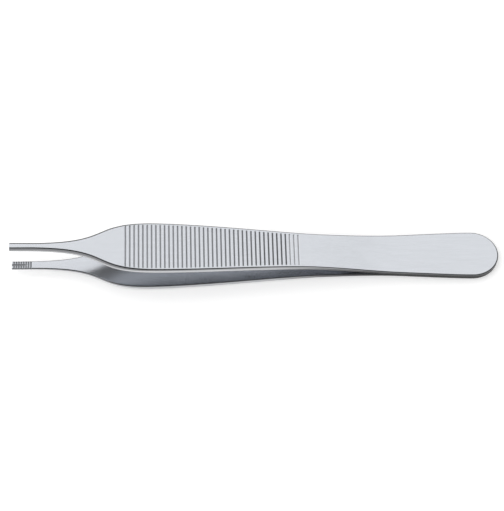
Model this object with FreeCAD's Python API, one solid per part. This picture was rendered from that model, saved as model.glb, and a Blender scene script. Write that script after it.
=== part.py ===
import FreeCAD, Part
import math
import os

from FreeCAD import Vector

# Thumb forceps: two sprung steel blades that lie flat against each other at the heel,
# where they are welded together, and stand apart at the tips. The fingers press the
# grooved grip and the fine teeth of the jaws close on the tissue.
# Millimetres. X runs from the tips to the heel and Z is up. The forceps lies as it
# comes to rest, on the belly of its lower blade and on the end of its heel.

# Outline of a blade seen from above, from the tip to the heel
length = 120.0
tip_width = 2.15
tip_straight = 5.0
grip_width = 12.92
grip_from_tip = 35.0
waist_width = 9.06
waist_from_tip = 73.0
heel_width = 11.92
heel_round = 6.6

# How far each curve of the outline keeps the direction of its end
neck_lead = 21.0
shoulder_lead = 14.3
grip_lead = 9.3
front_waist_lead = 7.5
back_waist_lead = 13.5
heel_lead = 6.5

# Side view of a blade: the curves of its inner face and of its outer face
tip_opening = 9.74
tip_thickness = 1.1
heel_thickness = 1.05
inner_parting = 94.7
inner_lead = 12.4
inner_tip_lead = 82.0
inner_splay = 1.2
outer_parting = 95.9
outer_lead = 14.5
outer_tip_lead = 75.7
outer_splay = 0.3

# Easing of the outer face's long edge: a bevel, and a smaller bevel on its corners
bevel = 0.42
bevel_easing = 0.17

# Grooves across the grip, round at the bottom
groove_count = 41
groove_pitch = 1.059
first_groove = 27.9
groove_width = 0.4
groove_depth = 0.17
groove_margin = 0.72
faint_grooves = 3
faint_depth = 0.1

# Jaws: cuts across the inner face leave teeth, and a channel runs between their rows
tooth_count = 8
tooth_pitch = 0.59
first_tooth_cut = 0.3
tooth_cut_width = 0.5
tooth_cut_depth = 0.25
channel_width = 0.34
channel_depth = 0.24
channel_length = 5.2
channel_cutter = 3.0


def bezier(poles):
    curve = Part.BezierCurve()
    curve.setPoles(poles)
    return curve


def line(start, end):
    return Part.LineSegment(start, end).toShape()


def outline_curve(start, start_width, lead_out, lead_in, end, end_width):
    """One stretch of the outline, parallel to the middle line at both its ends."""
    return bezier([Vector(start, start_width / 2, 0), Vector(start + lead_out, start_width / 2, 0),
                   Vector(end - lead_in, end_width / 2, 0), Vector(end, end_width / 2, 0)])


def face_curve(parting, lead, height, tip_height, tip_lead, splay):
    """A face in the side view: level at the heel, then bent away up to the tip."""
    drop = tip_lead * math.tan(math.radians(splay))
    return bezier([Vector(0, 0, tip_height), Vector(tip_lead, 0, tip_height - drop),
                   Vector(parting - lead, 0, height), Vector(parting, 0, height)])


heel_start = length - heel_round
neck_curve = outline_curve(tip_straight, tip_width, neck_lead, shoulder_lead,
                           grip_from_tip, grip_width)
grip_curve = outline_curve(grip_from_tip, grip_width, grip_lead, front_waist_lead,
                           waist_from_tip, waist_width)
handle_curve = outline_curve(waist_from_tip, waist_width, back_waist_lead, heel_lead,
                             heel_start, heel_width)
inner_curve = face_curve(inner_parting, inner_lead, 0, tip_opening / 2,
                         inner_tip_lead, inner_splay)
outer_curve = face_curve(outer_parting, outer_lead, heel_thickness,
                         tip_opening / 2 + tip_thickness, outer_tip_lead, outer_splay)


def place_on(curve, station):
    """The point of a curve at a distance from the tip, and the curve's direction there."""
    low = 0.0
    high = 1.0
    while high - low > 1e-9:
        middle = (low + high) / 2
        if curve.value(middle).x < station:
            low = middle
        else:
            high = middle
    return curve.value(high), curve.tangent(high)[0]


def half_width(station):
    """Half the width of the blade at a distance from the tip, on the neck or the grip."""
    curve = neck_curve if station < grip_from_tip else grip_curve
    return place_on(curve, station)[0].y


def plan():
    """A prism on one half of the outline, higher than the blade."""
    tip = Vector(0, tip_width / 2, 0)
    ellipse = Part.Ellipse(Vector(heel_start, 0, 0), heel_round, heel_width / 2)
    edges = [line(Vector(0, 0, 0), tip), line(tip, Vector(tip_straight, tip_width / 2, 0)),
             neck_curve.toShape(), grip_curve.toShape(), handle_curve.toShape(),
             Part.ArcOfEllipse(ellipse, 0, math.pi / 2).toShape(),
             line(Vector(length, 0, 0), Vector(0, 0, 0))]
    face = Part.Face(Part.Wire(Part.sortEdges(edges)[0]))
    return face.extrude(Vector(0, 0, tip_opening + tip_thickness))


def side_profile():
    """A slab with the side view of a blade, wider than the blade's half."""
    end = length + heel_round
    inner_tip = Vector(0, 0, tip_opening / 2)
    outer_tip = Vector(0, 0, tip_opening / 2 + tip_thickness)
    outer_end = Vector(end, 0, heel_thickness)
    inner_end = Vector(end, 0, 0)
    edges = [line(inner_tip, outer_tip), outer_curve.toShape(),
             line(Vector(outer_parting, 0, heel_thickness), outer_end), line(outer_end, inner_end),
             line(inner_end, Vector(inner_parting, 0, 0)), inner_curve.toShape()]
    face = Part.Face(Part.Wire(Part.sortEdges(edges)[0]))
    return face.extrude(Vector(0, grip_width, 0))


def is_outer_edge(edge):
    """Whether an edge of the half blade runs along between the outer face and the side."""
    middle = edge.valueAt((edge.FirstParameter + edge.LastParameter) / 2)
    if middle.y < 1e-6 or edge.BoundBox.XLength < 1e-6:
        return False
    if middle.x > outer_parting:
        return abs(middle.z - heel_thickness) < 1e-6
    return abs(middle.z - place_on(outer_curve, middle.x)[0].z) < 1e-4


def is_slanted(face):
    """Whether a face looks neither straight up or down nor straight to the side."""
    first_u, last_u, first_v, last_v = face.ParameterRange
    normal = face.normalAt((first_u + last_u) / 2, (first_v + last_v) / 2)
    return 0.4 < normal.z < 0.9


def ease_outer_edge(half):
    """Bevel the long edge of the outer face, then ease both corners of the bevel."""
    top_edges = [edge for edge in half.Edges if is_outer_edge(edge)]
    bevelled = half.makeChamfer(bevel, top_edges)
    slanted = [face for face in bevelled.Faces if is_slanted(face)]
    corners = []
    for edge in bevelled.Edges:
        sides = sum(1 for face in slanted if any(edge.isSame(other) for other in face.Edges))
        at_an_end = edge.BoundBox.XMax < 1e-6 or edge.BoundBox.YMax < 1e-6
        if sides == 1 and not at_an_end:
            corners.append(edge)
    return bevelled.makeChamfer(bevel_easing, corners)


def plain_blade():
    """The upper blade without grooves or teeth: one half, mirrored to the other side."""
    half = ease_outer_edge(plan().common(side_profile()).Solids[0])
    other = half.mirror(Vector(0, 0, 0), Vector(0, 1, 0))
    return half.fuse(other).removeSplitter().Solids[0]


def grip_cutters():
    """Round bars that lie in the outer face and stop short of the blade's sides."""
    radius = (groove_width ** 2 / 4 + groove_depth ** 2) / (2 * groove_depth)
    bars = []
    for number in range(groove_count):
        station = first_groove + number * groove_pitch
        depth = faint_depth if number >= groove_count - faint_grooves else groove_depth
        point, direction = place_on(outer_curve, station)
        normal = Vector(-direction.z, 0, direction.x)
        reach = half_width(station) - groove_margin
        end = point + normal * (radius - depth) - Vector(0, reach, 0)
        bars.append(Part.makeCylinder(radius, 2 * reach, end, Vector(0, 1, 0)))
    return bars


def tooth_cutters(shift):
    """Wedges across the inner face of the jaw, all moved along it by a shift."""
    wedges = []
    for number in range(tooth_count):
        station = first_tooth_cut + shift + number * tooth_pitch
        point, direction = place_on(inner_curve, station)
        normal = Vector(-direction.z, 0, direction.x)
        crest = point + normal * tooth_cut_depth
        foot = point - normal * tooth_cut_depth
        corners = [foot - direction * tooth_cut_width, foot + direction * tooth_cut_width, crest]
        wedge = Part.Face(Part.makePolygon(corners + corners[:1]))
        wedge.translate(Vector(0, -tip_width, 0))
        wedges.append(wedge.extrude(Vector(0, 2 * tip_width, 0)))
    return wedges


def channel_cutters():
    """A slitting disc where the channel runs out, and a slot from there to the tip."""
    point, direction = place_on(inner_curve, channel_length)
    normal = Vector(-direction.z, 0, direction.x)
    side = Vector(0, channel_width / 2, 0)
    centre = point + normal * (channel_depth - channel_cutter)
    disc = Part.makeCylinder(channel_cutter, channel_width, centre - side, Vector(0, 1, 0))
    back = -direction * (channel_length + channel_width)
    low = point - normal * channel_depth
    high = point + normal * channel_depth
    slot = Part.Face(Part.makePolygon([low, high, high + back, low + back, low]))
    slot.translate(-side)
    return [disc, slot.extrude(side * 2)]


def blade(tooth_shift):
    """The upper blade with its grip grooves, its teeth and the channel between them."""
    cutters = grip_cutters() + tooth_cutters(tooth_shift) + channel_cutters()
    return plain_blade().cut(cutters).removeSplitter().Solids[0]


def rest_pitch():
    """Angle at which the belly and the end of the heel touch one level surface."""
    heel_contact = length - bevel - bevel_easing
    samples = 400
    slopes = []
    for number in range(samples):
        point = outer_curve.value(number / samples)
        slopes.append((point.z - heel_thickness) / (heel_contact - point.x))
    return math.degrees(math.atan(max(slopes)))


upper = blade(0.0)
lower = blade(tooth_pitch / 2).mirror(Vector(0, 0, 0), Vector(0, 0, 1))
for solid in (upper, lower):
    solid.rotate(Vector(0, 0, 0), Vector(0, 1, 0), rest_pitch())
box = Part.Compound([upper, lower]).optimalBoundingBox(False, False)

os.makedirs("parts", exist_ok=True)
for name, solid in (("upper_blade", upper), ("lower_blade", lower)):
    solid.translate(Vector(-box.Center.x, -box.Center.y, -box.ZMin))
    solid.exportStep("parts/" + name + ".step")
    print(name, "volume", round(solid.Volume, 2), "valid", solid.isValid())
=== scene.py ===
import math

import bmesh
import bpy
import numpy as np
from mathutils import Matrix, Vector


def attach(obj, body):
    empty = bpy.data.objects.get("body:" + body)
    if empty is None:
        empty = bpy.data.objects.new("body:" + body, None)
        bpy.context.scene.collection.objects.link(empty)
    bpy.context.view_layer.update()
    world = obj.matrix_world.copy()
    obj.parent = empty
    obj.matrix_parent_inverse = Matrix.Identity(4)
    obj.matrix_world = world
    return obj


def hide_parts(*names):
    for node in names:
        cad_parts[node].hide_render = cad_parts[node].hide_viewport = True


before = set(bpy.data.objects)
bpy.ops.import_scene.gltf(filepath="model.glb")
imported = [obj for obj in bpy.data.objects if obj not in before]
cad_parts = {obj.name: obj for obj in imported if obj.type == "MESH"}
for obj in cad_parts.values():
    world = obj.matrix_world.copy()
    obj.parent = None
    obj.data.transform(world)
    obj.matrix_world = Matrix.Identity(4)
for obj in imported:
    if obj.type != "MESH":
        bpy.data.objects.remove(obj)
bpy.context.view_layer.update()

# Looks of the thumb forceps. Each blade is one closed skin over its CAD solid. It is worked
# out in millimetres in the blade's own flat frame, where x runs from the tip to the heel,
# y across the blade and z up from the face where the two blades meet at the heel, and is
# then laid down as the CAD model lies.

# How the flat frame lies in the row frame: pitched down towards the heel, then moved
PITCH = math.radians(3.0994726)
SHIFT_X = -59.763269
SHIFT_Z = 7.50492

# Outline of a blade. It is a closer reading of the real one than the solid's, and up to a
# third of a millimetre fuller at the shoulders.
LENGTH = 120.0
HEEL_ROUND = 6.6
HEEL_HALF_WIDTH = 5.9
HEEL_START = LENGTH - HEEL_ROUND
OUTLINE = [
    [(0, 1.05), (1.5, 1.05), (2.9, 1.05), (4.4, 1.05)],
    [(4.4, 1.05), (25.4, 1.05), (18.8, 6.455), (34, 6.455)],
    [(34, 6.455), (46.5, 6.455), (65.8, 4.6), (75.2, 4.6)],
    [(75.2, 4.6), (88.1, 4.6), (106.4, 5.9), (113.4, 5.9)],
]

# Side view: poles of the inner face and of the outer face, each level behind its last pole
INNER_FACE = [(0, 4.87), (82, 3.15236), (82.3, 0), (94.7, 0)]
OUTER_FACE = [(0, 5.97), (75.7, 5.57364), (81.4, 1.05), (95.9, 1.05)]

# Rounding of the outer face's long edge, by station: how far in and how far down it
# reaches, and how full it is, from 1 for a quarter ellipse up to a straight bevel
EASE_STATIONS = [0, 6, 16, 26, 34, 66, 80, 112, 120]
EASE_IN = [0.58, 0.62, 0.64, 0.60, 0.44, 0.34, 0.30, 0.26, 0.32]
EASE_DOWN = [0.70, 0.74, 0.74, 0.66, 0.46, 0.40, 0.38, 0.36, 0.40]
EASE_BEVEL = [1.6, 1.6, 1.6, 1.5, 1.15, 1.0, 1.0, 1.0, 1.0]
INNER_EASE = [0.20, 0.24, 0.28, 0.28, 0.26, 0.20, 0.12, 0.12, 0.12]
END_EASE = 0.14

# Painted shade on the edge, by station, from 0 to 1: how much darker its rounding, its wall and
# its lower arris are painted. It makes them a little rougher too.
EDGE_SHADE_STATIONS = [0, 10, 22, 34, 64, 78, 88, 120]
EDGE_SHADE_ROUND = [0.50, 0.48, 0.48, 0.55, 0.45, 0.50, 0.75, 0.90]
EDGE_SHADE_WALL = [0.30, 0.15, 0.05, 0.0, 0.05, 0.80, 1.0, 1.0]
EDGE_SHADE_ARRIS = [0.75, 0.75, 0.70, 0.55, 0.50, 0.90, 1.0, 1.0]

# Grooves across the grip
GROOVES = 41
GROOVE_PITCH = 1.056
FIRST_GROOVE = 28.04
GROOVE_HALF_WIDTH = 0.2
GROOVE_DEPTH = 0.17
GROOVE_MARGIN = 0.72
GROOVE_LIP = 0.03
GROOVE_RUN_OUT = (-0.07, 0.03)
LAND_DEPTHS = 4
FAINT_GROOVES = 3
FAINT_DEPTH = 0.1

# Painted shade in the grooves, by station: how dark a groove is painted
GROOVE_SHADE_STATIONS = [28, 50, 66, 70]
GROOVE_SHADE_LEVELS = [0.62, 0.76, 1, 0.8]

# Teeth and channel of the jaws
TEETH = 8
TOOTH_PITCH = 0.59
FIRST_TOOTH_CUT = 0.3
TOOTH_CUT_HALF_WIDTH = 0.25
TOOTH_CUT_DEPTH = 0.25
CHANNEL_HALF_WIDTH = 0.17
CHANNEL_DEPTH = 0.24
CHANNEL_LENGTH = 3.2
CHANNEL_RUN_OUT = 0.8
JAW_LENGTH = 5.0

# Where the sections of the skin stand: how many there are, how far apart they are over
# the teeth, and their distances from the middle of a groove
END_SECTIONS = 6
JAW_SECTION_STEP = 0.0486
JAW_SECTIONS_END = 6.4
NECK_SECTIONS = 64
GROOVE_SECTIONS = [0.06, 0.12, 0.17, 0.2, 0.22, 0.25, 0.3, 0.4]
HANDLE_SECTIONS = 90
HEEL_SECTIONS = 46
SLOPE_STEP = 0.05

# The finishes, numbered in the order of a blade's materials
SATIN, BRIGHT, JAW, INNER = 0, 1, 2, 3


def bezier(poles, count=400):
    """A cubic curve: each of its four poles weighted by its Bernstein polynomial."""
    t = np.linspace(0, 1, count)
    weights = np.stack([(1 - t) ** 3, 3 * t * (1 - t) ** 2, 3 * t ** 2 * (1 - t), t ** 3], 1)
    return weights @ np.array(poles, float)


OUTLINE_POINTS = np.concatenate([bezier(poles) for poles in OUTLINE])
INNER_POINTS = bezier(INNER_FACE)
OUTER_POINTS = bezier(OUTER_FACE)


def height_of(points, x):
    """Height of a face at x: along its curve as far as it goes, and level after it."""
    return np.interp(x, points[:, 0], points[:, 1])


def smooth(low, high, value):
    """0 below low, 1 above high, and an even S curve between them."""
    share = np.clip((value - low) / (high - low), 0, 1)
    return share * share * (3 - 2 * share)


def stations():
    """Stations along the outline, from the tip round to the end of the heel.

    Gives x, half width, the outward normal's x and y, and the x of the middle of the flat.
    The stations stand close together at the jaw's teeth and the grip's grooves, because
    their cuts are narrow. Round the heel they are even in the ellipse's angle, and the
    normal there is the ellipse's own: each coordinate divided by its axis squared.
    """
    end = END_EASE * (1 - np.cos(np.linspace(0, math.pi / 2, END_SECTIONS)))
    jaw = np.arange(END_EASE + 0.03, JAW_SECTIONS_END, JAW_SECTION_STEP)
    neck = np.linspace(6.5, FIRST_GROOVE - 0.7, NECK_SECTIONS)
    near = np.array(GROOVE_SECTIONS)
    around_groove = np.concatenate([[-0.5 * GROOVE_PITCH], -near[::-1], [0], near])
    grip = FIRST_GROOVE + (GROOVE_PITCH * np.arange(GROOVES)[:, None] + around_groove).ravel()
    handle = np.linspace(grip[-1] + 0.3, HEEL_START, HANDLE_SECTIONS)
    x = np.concatenate([end, jaw, neck, grip, handle])
    half_width = height_of(OUTLINE_POINTS, x)
    slope = (height_of(OUTLINE_POINTS, x + SLOPE_STEP)
             - height_of(OUTLINE_POINTS, x - SLOPE_STEP)) / (2 * SLOPE_STEP)
    slope[x > HEEL_START - 0.06] = 0
    slope[x < 0.06] = 0
    steep = np.hypot(1, slope)

    angle = np.linspace(0, math.pi / 2, HEEL_SECTIONS)[1:]
    x_heel = HEEL_START + HEEL_ROUND * np.sin(angle)
    width_heel = HEEL_HALF_WIDTH * np.cos(angle)
    width_heel[-1] = 0
    normal_x = np.sin(angle) / HEEL_ROUND
    normal_y = np.cos(angle) / HEEL_HALF_WIDTH
    size = np.hypot(normal_x, normal_y)
    ease = np.interp(x_heel, EASE_STATIONS, EASE_IN)
    middle_heel = HEEL_START + (HEEL_ROUND - ease) * np.sin(angle)
    return (np.concatenate([x, x_heel]), np.concatenate([half_width, width_heel]),
            np.concatenate([-slope / steep, normal_x / size]),
            np.concatenate([1 / steep, normal_y / size]),
            np.concatenate([x, middle_heel]))


def groove_sink(x, margin):
    """How far the outer face sinks at x, a distance margin inside the outline.

    A groove's bottom is a parabola, depth (1 - (d / half width) squared) at a distance d
    from its middle. The lips are worn soft: the sink is (a + sqrt(a^2 + lip^2)) / 2, less
    what that leaves on the land between. The groove runs out over a short ramp at its ends.
    """
    number = np.clip(np.round((x - FIRST_GROOVE) / GROOVE_PITCH), 0, GROOVES - 1)
    away = x - FIRST_GROOVE - number * GROOVE_PITCH
    depth = np.where(number >= GROOVES - FAINT_GROOVES, FAINT_DEPTH, GROOVE_DEPTH)
    level = depth * np.maximum(1 - (away / GROOVE_HALF_WIDTH) ** 2, -LAND_DEPTHS)
    worn = (level + np.sqrt(level ** 2 + GROOVE_LIP ** 2)) / 2
    land = -LAND_DEPTHS * depth
    rest = (land + np.sqrt(land ** 2 + GROOVE_LIP ** 2)) / 2
    ramp = smooth(GROOVE_MARGIN + GROOVE_RUN_OUT[0], GROOVE_MARGIN + GROOVE_RUN_OUT[1], margin)
    return np.maximum(worn - rest, 0) * ramp


def jaw_sink(x, across, shift):
    """How far the inner face is cut away at x, a distance across from the middle line.

    The teeth stand between V cuts, whose depth falls in a straight line from the middle of
    a cut to its edges. The channel is a slot with steep sides that runs out in an arc.
    """
    first = FIRST_TOOTH_CUT + shift
    number = np.clip(np.round((x - first) / TOOTH_PITCH), 0, TEETH - 1)
    away = np.abs(x - first - number * TOOTH_PITCH)
    cut = TOOTH_CUT_DEPTH * np.clip(1 - away / TOOTH_CUT_HALF_WIDTH, 0, 1)
    past = np.clip((x - CHANNEL_LENGTH) / CHANNEL_RUN_OUT, 0, 1)
    channel = CHANNEL_DEPTH * (1 - past ** 2) * (np.abs(across) < CHANNEL_HALF_WIDTH + 1e-6)
    return np.maximum(cut, channel)


def outer_rows(flat_half_width):
    """Shares of the flat's half width where its rows run, at each station.

    They stand close together in the half millimetre inside the edge, where the grooves end.
    """
    inset = 0.5 * np.array([0, 0.15, 0.3, 0.4, 0.5, 0.6, 0.7, 0.85, 1.0])
    side = 1 - inset[None, :] / np.maximum(flat_half_width, 1)
    side = np.concatenate([side, side[:, -1:] * np.array([[0.66, 0.33]])], 1)
    return np.concatenate([side, np.zeros((len(side), 1)), -side[:, ::-1]], 1)


def inner_rows():
    """Shares of the half width where the inner face's rows run, close at the channel."""
    side = np.array([1.0, 0.95, 0.85, 0.7, 0.5, 0.3, 0.215, 0.19, 0.165, 0.08])
    return np.concatenate([side, [0], -side[::-1]])[None, :]


def blade_skin(tooth_shift):
    """Closed skin of the upper blade, as a grid of stations by points round the section.

    Round each section it goes over the outer face from +y to -y, down the rounding, the
    side wall and the small inner rounding, back along the inner face, and up the +y side.
    The rounding at an angle a lies in by ease_in (1 - sin^p a) along the outline's normal
    and down by ease_down (1 - cos^p a), where p makes it a quarter ellipse or more of a
    bevel. The inner rounding is a quarter circle, and at the tip every section is drawn in
    by a quarter circle too. Also gives the painted shade of each point, from 0 to 1: the
    depth of a groove or cut, scaled by station in the grooves, and given levels by station
    on the edge. It gives the finish of each column too.
    """
    x, half_width, normal_x, normal_y, middle = stations()
    outer = height_of(OUTER_POINTS, x)
    inner = height_of(INNER_POINTS, x)
    drawn = END_EASE * (1 - np.sqrt(np.clip(1 - (1 - np.clip(x / END_EASE, 0, 1)) ** 2, 0, 1)))
    ease_in = np.interp(x, EASE_STATIONS, EASE_IN)
    ease_below = np.interp(x, EASE_STATIONS, INNER_EASE)
    ease_down = np.minimum(np.interp(x, EASE_STATIONS, EASE_DOWN),
                           outer - inner - ease_below - 2 * drawn - 0.03)
    power = np.interp(x, EASE_STATIONS, EASE_BEVEL)[:, None]
    round_heel = (x > HEEL_START)[:, None]

    def at(inset):
        """Place on the outline at each station, moved in along its normal."""
        inset = inset + drawn[:, None]
        return (x[:, None] - normal_x[:, None] * inset * (x > END_EASE)[:, None],
                half_width[:, None] - normal_y[:, None] * inset)

    def across(inset, start, rows):
        """Rows over a face: straight across, bent forward only by the outline's slant."""
        edge_x, edge_y = at(inset)
        bend = np.where(round_heel, rows ** 2, np.abs(rows))
        return start[:, None] + (edge_x - start[:, None]) * bend, edge_y * rows

    # Outer face, sunk by the grooves
    rows = outer_rows(at(ease_in[:, None])[1])
    flat_x, flat_y = across(ease_in[:, None], middle, rows)
    inside = ((ease_in + drawn)[:, None]
              + (half_width - ease_in - drawn)[:, None] * (1 - np.abs(rows)))
    sink = groove_sink(flat_x, inside)
    flat_z = height_of(OUTER_POINTS, flat_x) - drawn[:, None] - sink
    # Painted shade in the grooves: a groove's depth, scaled by the level at its station
    flat_painted_shade = sink / GROOVE_DEPTH * np.interp(flat_x, GROOVE_SHADE_STATIONS, GROOVE_SHADE_LEVELS)

    # Inner face, cut by the teeth and the channel
    middle_in = np.where(x > HEEL_START,
                         HEEL_START + (x - HEEL_START) * (1 - INNER_EASE[-1] / HEEL_ROUND), x)
    face_x, face_y = across(ease_below[:, None], middle_in, inner_rows())
    cut = jaw_sink(face_x, face_y, tooth_shift) * (x > END_EASE * 0.5)[:, None]
    face_z = height_of(INNER_POINTS, face_x) + drawn[:, None] + cut
    # Painted shade between the teeth and in the channel: the depth of the cut
    teeth_painted_shade = cut / TOOTH_CUT_DEPTH

    # The edge's rounding, the wall and the inner rounding, from the top down
    turn = np.linspace(0, math.pi / 2, 11)[None, 1:]
    fall = 1 - np.clip(np.cos(turn), 0, 1) ** power
    top_x, top_y = at(ease_in[:, None] * (1 - np.sin(turn) ** power))
    top_z = outer[:, None] - drawn[:, None] - ease_down[:, None] * fall
    wall_top = (outer - drawn - ease_down)[:, None]
    wall_low = (inner + drawn + ease_below)[:, None]
    wall_x, wall_y = at(np.zeros((1, 2)))
    wall_z = wall_top + (wall_low - wall_top) * np.array([[0.5, 1.0]])
    low_turn = np.linspace(0, math.pi / 2, 4)[None, 1:-1]
    low_x, low_y = at(ease_below[:, None] * (1 - np.cos(low_turn)))
    low_z = wall_low - ease_below[:, None] * np.sin(low_turn)
    side_x = np.concatenate([top_x, wall_x, low_x], 1)
    side_y = np.concatenate([top_y, wall_y, low_y], 1)
    side_z = np.concatenate([top_z, wall_z, low_z], 1)

    grid_x = np.concatenate([flat_x, side_x, face_x[:, ::-1], side_x[:, ::-1]], 1)
    grid_y = np.concatenate([flat_y, -side_y, face_y[:, ::-1], side_y[:, ::-1]], 1)
    grid_z = np.concatenate([flat_z, side_z, face_z[:, ::-1], side_z[:, ::-1]], 1)
    # Painted shade on the ground edge: its rounding, its wall and its lower arris are painted
    # darker than the flats, most towards the heel, and a little rougher
    dull = [np.interp(x, EDGE_SHADE_STATIONS, levels)[:, None]
            for levels in (EDGE_SHADE_ROUND, EDGE_SHADE_WALL, EDGE_SHADE_ARRIS)]
    edge_painted_shade = np.concatenate([np.repeat(dull[0], 9, 1), np.repeat(dull[1], 3, 1),
                                  np.repeat(dull[2], 2, 1)], 1)
    # Painted shade at each point, from 0 to 1: in the grooves, between the teeth and on the edge
    painted_shade = np.concatenate([flat_painted_shade, edge_painted_shade, teeth_painted_shade[:, ::-1],
                             edge_painted_shade[:, ::-1]], 1)
    edge = np.full(side_x.shape[1] + 1, BRIGHT)
    finish = np.concatenate([np.full(flat_x.shape[1] - 1, SATIN), edge,
                             np.full(face_x.shape[1] - 1, JAW), edge])
    return np.stack([grid_x, grid_y, grid_z], 2), painted_shade, finish


def lay_down(points):
    """From the flat frame in millimetres to the row frame in metres."""
    x, y, z = points[:, 0], points[:, 1], points[:, 2]
    return 0.001 * np.stack([x * math.cos(PITCH) + z * math.sin(PITCH) + SHIFT_X, y,
                             z * math.cos(PITCH) - x * math.sin(PITCH) + SHIFT_Z], 1)


def skin_object(name, skin, turned_over):
    """Mesh of a closed grid: quads between neighbours, and one flat face at the tip.

    The last section, at the heel's end, closes on itself, so its doubles are merged. The
    inner face has the jaw's finish as far as the teeth reach and the inner finish behind them.
    """
    grid, painted_shade, finish = skin
    count, around = grid.shape[:2]
    points = grid.reshape(-1, 3).copy()
    if turned_over:
        points[:, 2] *= -1
    first = np.arange(count - 1)[:, None] * around
    here = np.arange(around)[None, :]
    after = (here + 1) % around
    quads = np.stack([first + here, first + around + here, first + around + after, first + after],
                     2).reshape(-1, 4)
    in_jaw = grid[:-1, :, 0] < JAW_LENGTH
    kinds = np.where((finish[None, :] == JAW) & ~in_jaw, INNER, finish[None, :]).ravel()
    tip = np.arange(around)
    if turned_over:
        quads = quads[:, ::-1]
        tip = tip[::-1]
    mesh = bpy.data.meshes.new(name)
    mesh.from_pydata(lay_down(points).tolist(), [], quads.tolist() + [tip.tolist()])
    mesh.polygons.foreach_set("use_smooth", [True] * len(quads) + [False])
    mesh.polygons.foreach_set("material_index", kinds.tolist() + [BRIGHT])
    # The painted shade goes to the shader as a point attribute
    painted_shade_values = mesh.attributes.new("painted_shade", "FLOAT", "POINT")
    painted_shade_values.data.foreach_set("value", painted_shade.ravel().astype(np.float32))
    merged = bmesh.new()
    merged.from_mesh(mesh)
    bmesh.ops.remove_doubles(merged, verts=merged.verts, dist=1e-7)
    merged.to_mesh(mesh)
    merged.free()
    piece = bpy.data.objects.new(name, mesh)
    bpy.context.scene.collection.objects.link(piece)
    return piece


upper = skin_object("upper_blade_skin", blade_skin(0.0), False)
lower = skin_object("lower_blade_skin", blade_skin(TOOTH_PITCH / 2), True)
for piece, node in ((upper, "upper_blade"), (lower, "lower_blade")):
    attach(piece, "root")
    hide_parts(node)


# The steel's grain: how often each pattern repeats in a metre, along and across a blade,
# how deep the scratches are, and what a groove and a cloud add to the roughness
FINE_SCRATCHES = (200, 6000, 6000)
LONG_SCRATCHES = (60, 1500, 1500)
CLOUDS = (240, 420, 420)
SCRATCH_HEIGHT = 0.000004
HOLLOW_DULLS = 0.15
CLOUD_DULLS = 0.10


def put(nodes, kind, operation=None, **values):
    """A new node with its operation and the values of its inputs, by name or by number."""
    node = nodes.new("ShaderNode" + kind)
    if operation:
        node.operation = operation
    for name, value in values.items():
        node.inputs[int(name[1:]) if name[1:].isdigit() else name].default_value = value
    return node


def ground_steel():
    """Shader group: steel as fine grinding and glass beads leave it.

    Two noises, drawn out along the blade, are the scratches; a third, even one, is the
    cloudiness of the satin. The colour is multiplied by 1 + Grain (scratches - 1/2). It
    also falls by Darkening times the attribute of painted shade, which paints shade into the
    grooves, between the teeth and on the edge, and the roughness rises there too.
    """
    group = bpy.data.node_groups.new("ground_steel", "ShaderNodeTree")
    for name, kind in (("Colour", "NodeSocketColor"), ("Roughness", "NodeSocketFloat"),
                       ("Grain", "NodeSocketFloat"), ("Darkening", "NodeSocketFloat")):
        group.interface.new_socket(name=name, in_out="INPUT", socket_type=kind)
    for name, kind in (("Colour", "NodeSocketColor"), ("Roughness", "NodeSocketFloat"),
                       ("Height", "NodeSocketFloat")):
        group.interface.new_socket(name=name, in_out="OUTPUT", socket_type=kind)
    nodes, links = group.nodes, group.links
    given = nodes.new("NodeGroupInput")
    result = nodes.new("NodeGroupOutput")
    place = nodes.new("ShaderNodeTexCoord")

    def noise(scale, detail):
        stretch = put(nodes, "Mapping")
        stretch.inputs["Scale"].default_value = scale
        links.new(place.outputs["Object"], stretch.inputs["Vector"])
        pattern = put(nodes, "TexNoise", Scale=1.0, Detail=detail)
        links.new(stretch.outputs["Vector"], pattern.inputs["Vector"])
        return pattern.outputs["Fac"]

    def maths(operation, first, second):
        node = put(nodes, "Math", operation)
        for socket, value in zip(node.inputs, (first, second)):
            if isinstance(value, (int, float)):
                socket.default_value = value
            else:
                links.new(value, socket)
        return node.outputs[0]

    scratches = maths("ADD", maths("MULTIPLY", noise(FINE_SCRATCHES, 3), 0.6),
                      maths("MULTIPLY", noise(LONG_SCRATCHES, 2), 0.4))
    cloud = noise(CLOUDS, 4)
    # The attribute of painted shade, from 0 to 1: it darkens the colour and adds roughness
    painted_shade = put(nodes, "Attribute")
    painted_shade.attribute_name = "painted_shade"
    depth = painted_shade.outputs["Fac"]
    grain = maths("ADD", 1.0, maths("MULTIPLY", given.outputs["Grain"],
                                    maths("SUBTRACT", scratches, 0.5)))
    # Painted shade: the colour falls by Darkening times the attribute
    shade = maths("SUBTRACT", 1.0, maths("MULTIPLY", depth, given.outputs["Darkening"]))
    tint = put(nodes, "VectorMath", "SCALE")
    links.new(given.outputs["Colour"], tint.inputs[0])
    links.new(maths("MULTIPLY", grain, shade), tint.inputs["Scale"])
    links.new(tint.outputs[0], result.inputs["Colour"])
    dull = maths("ADD", maths("MULTIPLY", depth, HOLLOW_DULLS),
                 maths("MULTIPLY", maths("SUBTRACT", cloud, 0.5), CLOUD_DULLS))
    links.new(maths("ADD", given.outputs["Roughness"], dull), result.inputs["Roughness"])
    links.new(scratches, result.inputs["Height"])
    return group


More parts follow.
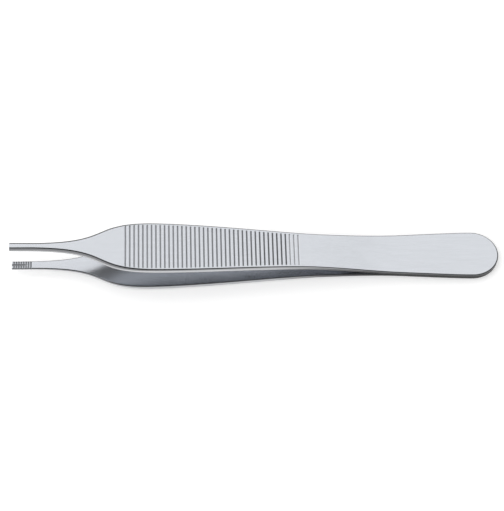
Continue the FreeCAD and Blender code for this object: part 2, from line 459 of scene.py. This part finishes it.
def steel_material(name, group, colour, roughness, grain, darkening, bump):
    """Bare steel: the group's colour and roughness, and its scratches as a slight bump."""
    material = bpy.data.materials.new(name)
    material.use_nodes = True
    nodes, links = material.node_tree.nodes, material.node_tree.links
    nodes.clear()
    finish = nodes.new("ShaderNodeGroup")
    finish.node_tree = group
    finish.inputs["Colour"].default_value = colour + (1,)
    finish.inputs["Roughness"].default_value = roughness
    finish.inputs["Grain"].default_value = grain
    finish.inputs["Darkening"].default_value = darkening
    relief = put(nodes, "Bump", Strength=bump, Distance=SCRATCH_HEIGHT)
    shader = put(nodes, "BsdfPrincipled", Metallic=1.0)
    output = nodes.new("ShaderNodeOutputMaterial")
    links.new(finish.outputs["Colour"], shader.inputs["Base Color"])
    links.new(finish.outputs["Roughness"], shader.inputs["Roughness"])
    links.new(finish.outputs["Height"], relief.inputs["Height"])
    links.new(relief.outputs["Normal"], shader.inputs["Normal"])
    links.new(shader.outputs["BSDF"], output.inputs["Surface"])
    return material


group = ground_steel()
# Name, group, colour, roughness, grain, darkening and bump. The darkening is how strongly the
# painted shade darkens each finish.
finishes = [
    steel_material("satin_steel", group, (0.655, 0.668, 0.69), 0.24, 0.16, 0.92, 0.5),
    steel_material("bright_edge", group, (0.69, 0.70, 0.72), 0.10, 0.10, 0.92, 0.3),
    steel_material("jaw_steel", group, (0.64, 0.65, 0.67), 0.22, 0.16, 0.60, 0.5),
    # inner_steel is a little darker in colour than satin_steel: painted shade on the faces that
    # meet between the blades
    steel_material("inner_steel", group, (0.64, 0.652, 0.675), 0.18, 0.16, 0.0, 0.4),
]
for piece in (upper, lower):
    for finish in finishes:
        piece.data.materials.append(finish)


# How the floor glows: to the camera, in the metal, and in the metal behind the forceps,
# and where it dims in depth. The dim floor behind the forceps is painted shade that only the
# metal shows.
FLOOR_TO_CAMERA = 0.3
FLOOR_TO_METAL = 0.12
FLOOR_BEHIND = 0.2
FLOOR_COLOUR = (0.9, 0.9, 0.9, 1)
DIM_FROM, DIM_TO = -0.0005, 0.0015


def white_floor():
    """Pale matt floor, with a little glow to the camera and in the metal.

    In the metal it is dim behind the forceps: painted shade, seen only in reflections.
    """
    material = bpy.data.materials.new("white_floor")
    material.use_nodes = True
    nodes, links = material.node_tree.nodes, material.node_tree.links
    nodes.clear()
    matt = put(nodes, "BsdfDiffuse", Color=FLOOR_COLOUR)
    glow = put(nodes, "Emission")
    path = nodes.new("ShaderNodeLightPath")
    camera = put(nodes, "Math", "MULTIPLY", _1=FLOOR_TO_CAMERA)
    metal = put(nodes, "Math", "MULTIPLY", _1=FLOOR_TO_METAL)
    total = put(nodes, "Math", "ADD")
    both = nodes.new("ShaderNodeAddShader")
    links.new(path.outputs["Is Camera Ray"], camera.inputs[0])
    links.new(path.outputs["Is Glossy Ray"], metal.inputs[0])
    links.new(camera.outputs[0], total.inputs[0])
    links.new(metal.outputs[0], total.inputs[1])
    links.new(total.outputs[0], glow.inputs["Strength"])
    links.new(matt.outputs["BSDF"], both.inputs[0])
    links.new(glow.outputs["Emission"], both.inputs[1])

    place = nodes.new("ShaderNodeTexCoord")
    split = nodes.new("ShaderNodeSeparateXYZ")
    behind = put(nodes, "MapRange", _1=DIM_FROM, _2=DIM_TO)
    dim = put(nodes, "Math", "MULTIPLY")
    dark = put(nodes, "Emission", Strength=FLOOR_BEHIND)
    mix = nodes.new("ShaderNodeMixShader")
    output = nodes.new("ShaderNodeOutputMaterial")
    links.new(place.outputs["Object"], split.inputs[0])
    links.new(split.outputs["Y"], behind.inputs[0])
    links.new(behind.outputs[0], dim.inputs[0])
    links.new(path.outputs["Is Glossy Ray"], dim.inputs[1])
    links.new(dim.outputs[0], mix.inputs[0])
    links.new(both.outputs["Shader"], mix.inputs[1])
    links.new(dark.outputs["Emission"], mix.inputs[2])
    links.new(mix.outputs["Shader"], output.inputs["Surface"])
    return material


floor_mesh = bpy.data.meshes.new("floor")
floor_mesh.from_pydata([(-3, -3, 0), (3, -3, 0), (3, 3, 0), (-3, 3, 0)], [], [(0, 1, 2, 3)])
floor_mesh.materials.append(white_floor())
floor = bpy.data.objects.new("floor", floor_mesh)
bpy.context.scene.collection.objects.link(floor)

# What the metal sees, by direction. Each pair is a place and a level. The first list runs
# over the angle in degrees from the front horizon over the top to the back horizon, the
# second from the left, -1, to the right, 1, and their levels are multiplied.
OVER_LIGHT = [(0, 0.05), (84, 0.03), (92, 0.85), (118, 0.87), (128, 1.0), (140, 1.0), (147, 0.2),
              (157, 0.1), (180, 0.1)]
SIDE_LIGHT = [(-1, 0.6), (-0.9, 0.55), (-0.8, 0.2), (-0.62, 1.0), (-0.25, 1.0), (-0.12, 0.667),
              (0.08, 0.635), (0.25, 0.667), (0.42, 0.667), (0.6, 0.12), (0.8, 0.12),
              (0.9, 0.55), (1, 0.6)]
LIGHT_LEVEL = 1.82
LIGHT_TINT = (0.985 * LIGHT_LEVEL, LIGHT_LEVEL, 1.025 * LIGHT_LEVEL)

# How much weaker the light on what is matt gets from the middle to the right
MATT_SLANT = 0.6

# Low round the studio, up to a height that is the sine of the angle, its walls are lit
WALL_TOP, WALL_LEVEL = 0.46, 0.6
WALL_FADE = (-0.06, 0.04)


def studio_world():
    """Soft white light all round, a little stronger from the left, on what is matt.

    The camera sees plain white, and the metal sees what hangs in the studio.
    That is soft light overhead and behind, brightest a little to the left, and dim in
    front, by the angle atan2(z, -y) and by x, over plain walls all round.
    """
    world = bpy.data.worlds.new("studio")
    world.use_nodes = True
    nodes, links = world.node_tree.nodes, world.node_tree.links
    nodes.clear()
    place = nodes.new("ShaderNodeTexCoord")
    split = nodes.new("ShaderNodeSeparateXYZ")
    links.new(place.outputs["Generated"], split.inputs[0])

    def levels(value, low, high, pairs):
        """The level at a value: straight lines between the pairs."""
        share = put(nodes, "MapRange", _1=low, _2=high)
        links.new(value, share.inputs[0])
        ramp = nodes.new("ShaderNodeValToRGB")
        links.new(share.outputs[0], ramp.inputs[0])
        elements = ramp.color_ramp.elements
        while len(elements) < len(pairs):
            elements.new(0.5)
        for element, (position, level) in zip(elements, pairs):
            element.position = (position - low) / (high - low)
        for element, (position, level) in zip(elements, pairs):
            element.color = (level, level, level, 1)
        return ramp.outputs["Color"]

    front = put(nodes, "Math", "MULTIPLY", _1=-1.0)
    links.new(split.outputs["Y"], front.inputs[0])
    angle = put(nodes, "Math", "ARCTAN2")
    links.new(split.outputs["Z"], angle.inputs[0])
    links.new(front.outputs[0], angle.inputs[1])
    degrees = put(nodes, "Math", "DEGREES")
    links.new(angle.outputs[0], degrees.inputs[0])
    over = levels(degrees.outputs[0], 0, 180, OVER_LIGHT)
    side = levels(split.outputs["X"], -1, 1, SIDE_LIGHT)
    light = put(nodes, "VectorMath", "MULTIPLY")
    links.new(over, light.inputs[0])
    links.new(side, light.inputs[1])
    tint = put(nodes, "VectorMath", "MULTIPLY", _1=LIGHT_TINT)
    links.new(light.outputs[0], tint.inputs[0])
    wall = put(nodes, "MapRange", _1=WALL_TOP + WALL_FADE[0], _2=WALL_TOP + WALL_FADE[1],
               _3=WALL_LEVEL, _4=0.0)
    links.new(split.outputs["Z"], wall.inputs[0])
    studio = put(nodes, "VectorMath", "ADD")
    links.new(tint.outputs[0], studio.inputs[0])
    links.new(wall.outputs[0], studio.inputs[1])
    path = nodes.new("ShaderNodeLightPath")
    slant = put(nodes, "Math", "MULTIPLY_ADD", _1=-MATT_SLANT, _2=1.0)
    links.new(split.outputs["X"], slant.inputs[0])
    plain = put(nodes, "MixRGB", Color2=(1, 1, 1, 1))
    links.new(path.outputs["Is Camera Ray"], plain.inputs["Fac"])
    links.new(slant.outputs[0], plain.inputs["Color1"])
    mix = put(nodes, "MixRGB")
    links.new(path.outputs["Is Glossy Ray"], mix.inputs["Fac"])
    links.new(plain.outputs["Color"], mix.inputs["Color1"])
    links.new(studio.outputs[0], mix.inputs["Color2"])
    sky = nodes.new("ShaderNodeBackground")
    links.new(mix.outputs["Color"], sky.inputs["Color"])
    output = nodes.new("ShaderNodeOutputWorld")
    links.new(sky.outputs["Background"], output.inputs["Surface"])
    bpy.context.scene.world = world


studio_world()


# The picture's size, and the camera: its lens in pixels, and the pixel that the aim falls on
PICTURE_WIDTH, PICTURE_HEIGHT = 504, 511
SENSOR = 36
ELEVATION, AZIMUTH, DISTANCE = math.radians(64), math.radians(-1.637), 0.450
LENS_PIXELS, AIM_COLUMN, AIM_ROW = 1832.9, 255.4, 254.7
AIM_HEIGHT = 0.005


def photo_camera():
    """Camera high in front of the forceps, 450 mm away, as the photograph was taken.

    The point 5 mm over the origin falls on the picture's pixel at AIM_COLUMN, AIM_ROW.
    """
    back = Vector((math.sin(AZIMUTH) * math.cos(ELEVATION),
                   -math.cos(AZIMUTH) * math.cos(ELEVATION), math.sin(ELEVATION)))
    right = Vector((math.cos(AZIMUTH), math.sin(AZIMUTH), 0))
    up = back.cross(right)
    scale = DISTANCE / LENS_PIXELS
    aim = (Vector((0, 0, AIM_HEIGHT)) + right * scale * (PICTURE_WIDTH / 2 - AIM_COLUMN)
           - up * scale * (PICTURE_HEIGHT / 2 - AIM_ROW))
    data = bpy.data.cameras.new("camera")
    data.sensor_width = SENSOR
    data.lens = LENS_PIXELS * SENSOR / PICTURE_HEIGHT
    data.clip_start = 0.01
    data.clip_end = 20
    camera = bpy.data.objects.new("camera", data)
    camera.location = aim + back * DISTANCE
    camera.rotation_mode = "QUATERNION"
    camera.rotation_quaternion = (-back).to_track_quat("-Z", "Y")
    bpy.context.scene.collection.objects.link(camera)
    bpy.context.scene.camera = camera


photo_camera()
bpy.context.scene.view_settings.view_transform = "Standard"
